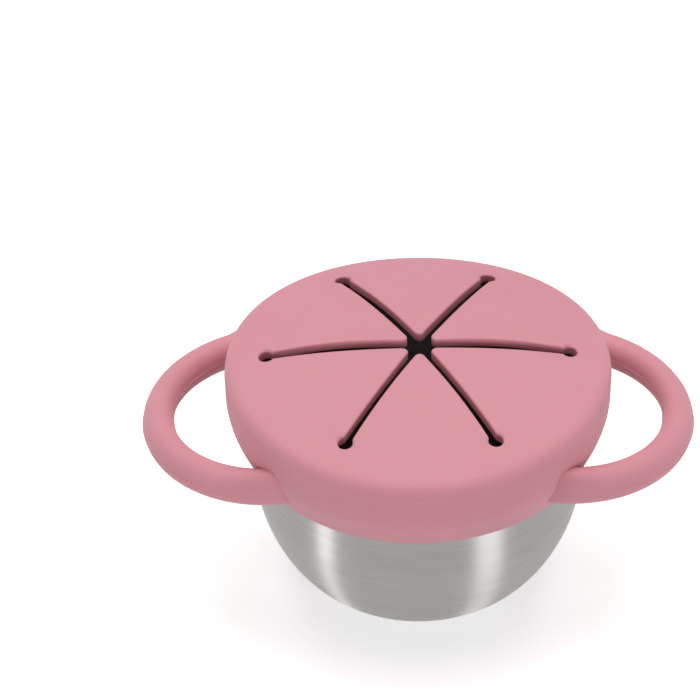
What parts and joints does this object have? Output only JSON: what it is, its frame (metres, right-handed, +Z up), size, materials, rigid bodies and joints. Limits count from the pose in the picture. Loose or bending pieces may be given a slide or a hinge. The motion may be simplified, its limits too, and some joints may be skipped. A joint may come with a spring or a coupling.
{
  "type": "snack container",
  "caption": "Open steel bowl with an out-turned lip, under a soft domed lid with radial slots cut into bending flaps, a tapered skirt and two loop handles.",
  "frame": {"origin": "centre of the flat base that the cup stands on", "axes": "+Z up along the cup's axis; +X along the line through the two handles; +Y away from the side shown in the picture"},
  "size_m": [0.1508, 0.105, 0.0752],
  "materials": {
    "steel": "satin, brushed round the axis",
    "silicone": "matt, dusty pink"
  },
  "bodies": {
    "cup": {"steel_cup": "steel"},
    "lid": {"lid_top": "silicone", "grip_skirt": "silicone", "handle_left": "silicone", "handle_right": "silicone", "flap_root_1": "silicone", "flap_root_2": "silicone", "flap_root_3": "silicone", "flap_root_4": "silicone", "flap_root_5": "silicone", "flap_root_6": "silicone"},
    "flap_1": {"flap_1": "silicone"},
    "flap_2": {"flap_2": "silicone"},
    "flap_3": {"flap_3": "silicone"},
    "flap_4": {"flap_4": "silicone"},
    "flap_5": {"flap_5": "silicone"},
    "flap_6": {"flap_6": "silicone"}
  },
  "joints": [
    {"name": "lid_lift", "type": "slide", "parent": "cup", "child": "lid", "axis": [0, 0, 1], "range_m": [0, 0.08], "deforming": ["grip_skirt"]},
    {"name": "flap_1_bend", "type": "hinge", "parent": "lid", "child": "flap_1", "pos_m": [0.02905, 0.01745, 0.0713], "axis": [-0.515, 0.8572, 0], "range_deg": [-70, 60], "stiffness_Nm_per_rad": 0.015, "deforming": ["flap_root_1"]},
    {"name": "flap_2_bend", "type": "hinge", "parent": "lid", "child": "flap_2", "pos_m": [-0.00059, 0.03388, 0.0713], "axis": [-0.9998, -0.0175, 0], "range_deg": [-70, 60], "stiffness_Nm_per_rad": 0.015, "deforming": ["flap_root_2"]},
    {"name": "flap_3_bend", "type": "hinge", "parent": "lid", "child": "flap_3", "pos_m": [-0.02964, 0.01643, 0.0713], "axis": [-0.4848, -0.8746, 0], "range_deg": [-70, 60], "stiffness_Nm_per_rad": 0.015, "deforming": ["flap_root_3"]},
    {"name": "flap_4_bend", "type": "hinge", "parent": "lid", "child": "flap_4", "pos_m": [-0.02905, -0.01745, 0.0713], "axis": [0.515, -0.8572, 0], "range_deg": [-70, 60], "stiffness_Nm_per_rad": 0.015, "deforming": ["flap_root_4"]},
    {"name": "flap_5_bend", "type": "hinge", "parent": "lid", "child": "flap_5", "pos_m": [0.00059, -0.03388, 0.0713], "axis": [0.9998, 0.0175, 0], "range_deg": [-70, 60], "stiffness_Nm_per_rad": 0.015, "deforming": ["flap_root_5"]},
    {"name": "flap_6_bend", "type": "hinge", "parent": "lid", "child": "flap_6", "pos_m": [0.02964, -0.01643, 0.0713], "axis": [0.4848, 0.8746, 0], "range_deg": [-70, 60], "stiffness_Nm_per_rad": 0.015, "deforming": ["flap_root_6"]}
  ]
}
